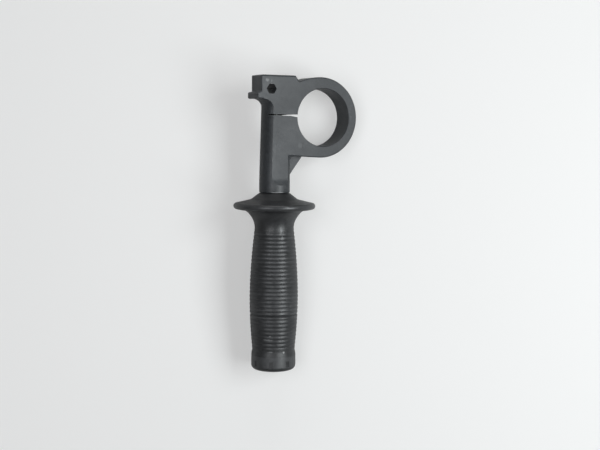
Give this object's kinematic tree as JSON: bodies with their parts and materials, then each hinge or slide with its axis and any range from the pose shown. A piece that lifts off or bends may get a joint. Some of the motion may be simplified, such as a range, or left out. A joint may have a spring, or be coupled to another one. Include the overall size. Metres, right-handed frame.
{
  "type": "power tool side handle",
  "caption": "Side handle for a hammer drill: a split clamp ring on a plastic shank, tightened by turning the ribbed grip with its hand guard flange.",
  "frame": {"origin": "centre of the bore that clamps the drill's collar", "axes": "+Z runs parallel to the handle's axis, from the grip towards the jaw; +X from the handle's axis to the ring; Y is the axis of the collar, with the front face at -Y"},
  "size_m": [0.094, 0.0606, 0.2178],
  "materials": {
    "clamp_plastic": "moulded, satin",
    "grip_plastic": "moulded, matt with rubbed ribs",
    "zinc_plated_steel": "zinc plated"
  },
  "bodies": {
    "clamp": {"clamp_body": "clamp_plastic", "clamp_nut": "zinc_plated_steel"},
    "washer": {"thrust_washer": "zinc_plated_steel"},
    "handle": {"grip": "grip_plastic", "grip_bolt": "zinc_plated_steel"}
  },
  "joints": [
    {"name": "grip_travel", "type": "slide", "parent": "clamp", "child": "washer", "axis": [0, 0, 1], "range_m": [-0.00625, 0]},
    {"name": "grip_turn", "type": "hinge", "parent": "washer", "child": "handle", "pos_m": [-0.0356, 0, 0], "axis": [0, 0, 1], "range_deg": [-1801, 0]}
  ],
  "couplings": [
    {"joint": "grip_turn", "follows": "grip_travel", "rad_per_m": 5026.5}
  ]
}
